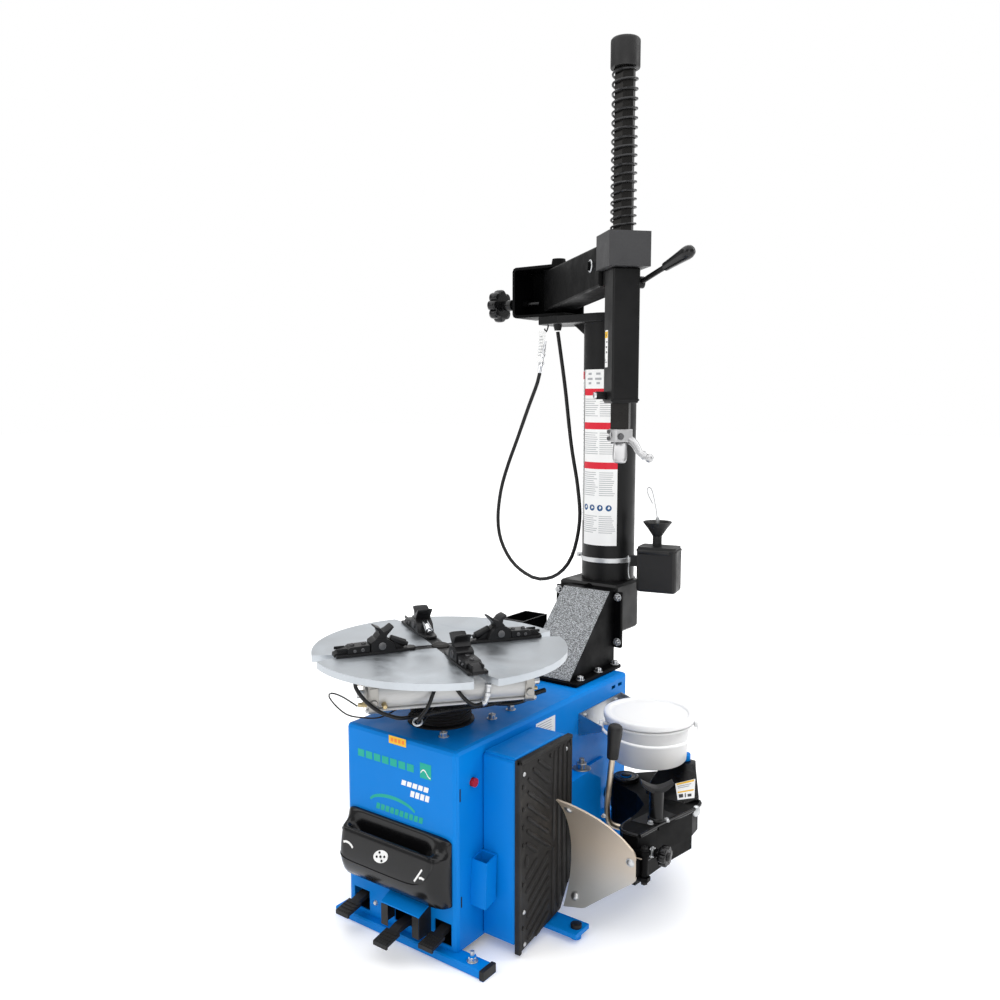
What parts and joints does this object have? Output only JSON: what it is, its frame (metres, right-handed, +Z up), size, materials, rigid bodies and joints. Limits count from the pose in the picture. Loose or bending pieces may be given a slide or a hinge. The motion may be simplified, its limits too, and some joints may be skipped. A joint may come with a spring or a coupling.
{
  "type": "tyre changer",
  "caption": "Swing-arm tyre changer: a sheet-metal cabinet with a clamping turntable, a column with a sprung tool bar, a side bead breaker, foot pedals and a paste bucket.",
  "frame": {"origin": "on the floor, under the middle of the whole machine's bounding box", "axes": "+Z up, -Y towards the operator and the pedals, +X towards the bead breaker"},
  "size_m": [0.872, 1.1054, 2.02],
  "materials": {
    "accessory_box": "matt moulded plastic",
    "air_hose_ring": "black air hose",
    "arm_pivot_housing": "gloss black paint",
    "arm_star_knob": "black moulded plastic",
    "band_clamp": "bright steel band",
    "bar_cap": "black rubberised plastic",
    "bar_lock_block": "satin black paint",
    "bar_lock_lever": "black paint with a plastic grip",
    "bar_sleeve": "satin black paint",
    "bar_spring": "black spring steel",
    "breaker_arm": "satin black paint",
    "breaker_blade": "galvanised sheet steel",
    "breaker_bracket": "satin black paint",
    "breaker_cylinder": "machined aluminium",
    "breaker_handle": "bare steel rod with a black grip",
    "breaker_hood": "matt moulded plastic",
    "breaker_rod": "chromed steel",
    "breaker_star_knob": "black moulded plastic",
    "breaker_t_pin": "black paint",
    "bucket_bail": "white plastic",
    "bucket_holder": "zinc-plated sheet",
    "bucket_lid": "white plastic",
    "cabinet_shell": "satin blue powder coat",
    "clamp_cylinder_front": "pale painted aluminium",
    "clamp_cylinder_rear": "pale painted aluminium",
    "clamp_jaw_1": "blackened cast steel",
    "clamp_jaw_2": "blackened cast steel",
    "clamp_jaw_3": "blackened cast steel",
    "clamp_jaw_4": "blackened cast steel",
    "column_bracket": "black paint, hammertone on the sloping face",
    "column_foot": "satin black paint",
    "column_top_plate": "satin black paint",
    "column_tube": "satin black paint",
    "drive_belt": "black rubber",
    "drive_motor": "dark grey paint",
    "front_foot_rail": "satin blue powder coat",
    "gearbox": "grey cast iron",
    "gearbox_pulley": "machined cast iron",
    "hex_bar": "oiled black steel",
    "hose_connector": "bright steel",
    "hub_seal_ring": "black rubber",
    "inflation_hose": "black rubber hose",
    "motor_pulley": "machined cast iron",
    "mount_head": "bare cast steel",
    "pad_housing": "satin blue powder coat",
    "paste_brush": "pale wire and handle",
    "paste_bucket": "translucent white plastic",
    "pedal_centre": "black paint",
    "pedal_cover": "glossy moulded plastic",
    "pedal_left": "black paint",
    "pedal_right": "black paint",
    "rear_foot_rail": "satin blue powder coat",
    "rubber_pad": "moulded matt rubber",
    "stop_button": "red plastic",
    "swing_arm": "satin black paint",
    "tool_pocket": "satin blue powder coat",
    "tool_tray": "glossy moulded plastic",
    "turntable_hub": "black cast iron",
    "turntable_plate": "ground steel",
    "valve_block": "machined aluminium"
  },
  "bodies": {
    "frame": {"cabinet_shell": "cabinet_shell", "front_foot_rail": "front_foot_rail", "rear_foot_rail": "rear_foot_rail", "pad_housing": "pad_housing", "rubber_pad": "rubber_pad", "pedal_cover": "pedal_cover", "tool_pocket": "tool_pocket", "tool_tray": "tool_tray", "column_bracket": "column_bracket", "column_foot": "column_foot", "column_tube": "column_tube", "column_top_plate": "column_top_plate", "band_clamp": "band_clamp", "accessory_box": "accessory_box", "bucket_holder": "bucket_holder", "hub_seal_ring": "hub_seal_ring", "gearbox": "gearbox", "drive_belt": "drive_belt", "drive_motor": "drive_motor", "valve_block": "valve_block", "breaker_cylinder": "breaker_cylinder", "breaker_bracket": "breaker_bracket", "arm_pivot_housing": "arm_pivot_housing", "inflation_hose": "inflation_hose", "hose_connector": "hose_connector"},
    "turntable": {"turntable_plate": "turntable_plate", "turntable_hub": "turntable_hub", "clamp_cylinder_front": "clamp_cylinder_front", "clamp_cylinder_rear": "clamp_cylinder_rear", "air_hose_ring": "air_hose_ring"},
    "jaw_1": {"clamp_jaw_1": "clamp_jaw_1"},
    "jaw_2": {"clamp_jaw_2": "clamp_jaw_2"},
    "jaw_3": {"clamp_jaw_3": "clamp_jaw_3"},
    "jaw_4": {"clamp_jaw_4": "clamp_jaw_4"},
    "worm_pulley": {"gearbox_pulley": "gearbox_pulley"},
    "motor_shaft": {"motor_pulley": "motor_pulley"},
    "arm": {"swing_arm": "swing_arm", "bar_lock_block": "bar_lock_block", "bar_sleeve": "bar_sleeve", "bar_spring": "bar_spring"},
    "tool_bar": {"hex_bar": "hex_bar", "bar_cap": "bar_cap", "mount_head": "mount_head"},
    "lock_lever": {"bar_lock_lever": "bar_lock_lever"},
    "arm_knob": {"arm_star_knob": "arm_star_knob"},
    "breaker": {"breaker_arm": "breaker_arm", "breaker_hood": "breaker_hood", "breaker_handle": "breaker_handle"},
    "piston": {"breaker_rod": "breaker_rod"},
    "blade": {"breaker_blade": "breaker_blade"},
    "t_pin": {"breaker_t_pin": "breaker_t_pin"},
    "blade_knob": {"breaker_star_knob": "breaker_star_knob"},
    "left_pedal": {"pedal_left": "pedal_left"},
    "centre_pedal": {"pedal_centre": "pedal_centre"},
    "right_pedal": {"pedal_right": "pedal_right"},
    "button": {"stop_button": "stop_button"},
    "bucket": {"paste_bucket": "paste_bucket"},
    "lid": {"bucket_lid": "bucket_lid"},
    "bail": {"bucket_bail": "bucket_bail"},
    "brush": {"paste_brush": "paste_brush"}
  },
  "joints": [
    {"name": "turntable_spin", "type": "hinge", "parent": "frame", "child": "turntable", "pos_m": [-0.05296, -0.26025, 0.6416], "axis": [0, 0, 1], "continuous": true},
    {"name": "jaw_1_slide", "type": "slide", "parent": "turntable", "child": "jaw_1", "axis": [0.521, 0.8536, 0], "range_m": [-0.02, 0.09]},
    {"name": "jaw_2_slide", "type": "slide", "parent": "turntable", "child": "jaw_2", "axis": [-0.8536, 0.521, 0], "range_m": [-0.02, 0.09]},
    {"name": "jaw_3_slide", "type": "slide", "parent": "turntable", "child": "jaw_3", "axis": [-0.521, -0.8536, 0], "range_m": [-0.02, 0.09]},
    {"name": "jaw_4_slide", "type": "slide", "parent": "turntable", "child": "jaw_4", "axis": [0.8536, -0.521, 0], "range_m": [-0.02, 0.09]},
    {"name": "worm_pulley_spin", "type": "hinge", "parent": "frame", "child": "worm_pulley", "pos_m": [-0.05296, -0.17025, 0.231], "axis": [0, 0, 1], "continuous": true},
    {"name": "motor_spin", "type": "hinge", "parent": "frame", "child": "motor_shaft", "pos_m": [-0.05296, -0.00525, 0.231], "axis": [0, 0, 1], "continuous": true},
    {"name": "arm_swing", "type": "hinge", "parent": "frame", "child": "arm", "pos_m": [-0.20696, 0.46675, 1.5185], "axis": [0, 0, 1], "range_deg": [-36, 40]},
    {"name": "tool_bar_slide", "type": "slide", "parent": "arm", "child": "tool_bar", "axis": [0, 0, 1], "range_m": [-0.26, 0], "stiffness_N_per_m": 600, "springref_m": 0.35, "deforming": ["bar_spring"]},
    {"name": "lock_lever_turn", "type": "hinge", "parent": "arm", "child": "lock_lever", "pos_m": [0.24823, 0.11745, 1.478], "axis": [0.6691, 0.7431, 0], "range_deg": [-6, 40]},
    {"name": "arm_knob_turn", "type": "hinge", "parent": "frame", "child": "arm_knob", "pos_m": [-0.42096, 0.46675, 1.488], "axis": [1, 0, 0], "continuous": true},
    {"name": "breaker_swing", "type": "hinge", "parent": "frame", "child": "breaker", "pos_m": [0.21104, 0.14975, 0.25], "axis": [0, 0, 1], "range_deg": [-1, 35]},
    {"name": "piston_slide", "type": "slide", "parent": "frame", "child": "piston", "axis": [1, 0, 0], "range_m": [-0.06, 0.005]},
    {"name": "blade_tilt", "type": "hinge", "parent": "breaker", "child": "blade", "pos_m": [0.39904, -0.10525, 0.185], "axis": [0, 0, 1], "range_deg": [-6, 8]},
    {"name": "t_pin_lift", "type": "slide", "parent": "breaker", "child": "t_pin", "axis": [0, 0, 1], "range_m": [0, 0.03]},
    {"name": "blade_knob_turn", "type": "hinge", "parent": "breaker", "child": "blade_knob", "pos_m": [0.42504, -0.05925, 0.195], "axis": [1, 0, 0], "continuous": true},
    {"name": "left_pedal_press", "type": "hinge", "parent": "frame", "child": "left_pedal", "pos_m": [-0.17196, -0.25525, 0.07], "axis": [1, 0, 0], "range_deg": [0, 6], "stiffness_Nm_per_rad": 60, "springref_deg": -3.44},
    {"name": "centre_pedal_press", "type": "hinge", "parent": "frame", "child": "centre_pedal", "pos_m": [-0.01796, -0.25525, 0.07], "axis": [1, 0, 0], "range_deg": [0, 6], "stiffness_Nm_per_rad": 60, "springref_deg": -3.44},
    {"name": "right_pedal_press", "type": "hinge", "parent": "frame", "child": "right_pedal", "pos_m": [0.06854, -0.25525, 0.07], "axis": [1, 0, 0], "range_deg": [0, 6], "stiffness_Nm_per_rad": 60, "springref_deg": -3.44},
    {"name": "button_press", "type": "slide", "parent": "frame", "child": "button", "axis": [-1, 0, 0], "range_m": [0, 0.004], "stiffness_N_per_m": 500, "springref_m": -0.002},
    {"name": "bucket_lift", "type": "slide", "parent": "frame", "child": "bucket", "axis": [0, 0, 1], "range_m": [0, 0.15]},
    {"name": "lid_lift", "type": "slide", "parent": "bucket", "child": "lid", "axis": [0, 0, 1], "range_m": [0, 0.05]},
    {"name": "bail_swing", "type": "hinge", "parent": "bucket", "child": "bail", "pos_m": [0.25104, 0.19175, 0.391], "axis": [0.809, 0.5878, 0], "range_deg": [-150, 0]},
    {"name": "brush_lift", "type": "slide", "parent": "frame", "child": "brush", "axis": [0, 0, 1], "range_m": [0, 0.15]}
  ],
  "couplings": [
    {"joint": "jaw_2_slide", "follows": "jaw_1_slide", "ratio": 1},
    {"joint": "jaw_3_slide", "follows": "jaw_1_slide", "ratio": 1},
    {"joint": "jaw_4_slide", "follows": "jaw_1_slide", "ratio": 1},
    {"joint": "motor_spin", "follows": "worm_pulley_spin", "ratio": 1.8615},
    {"joint": "piston_slide", "follows": "breaker_swing", "m_per_rad": -0.092}
  ]
}
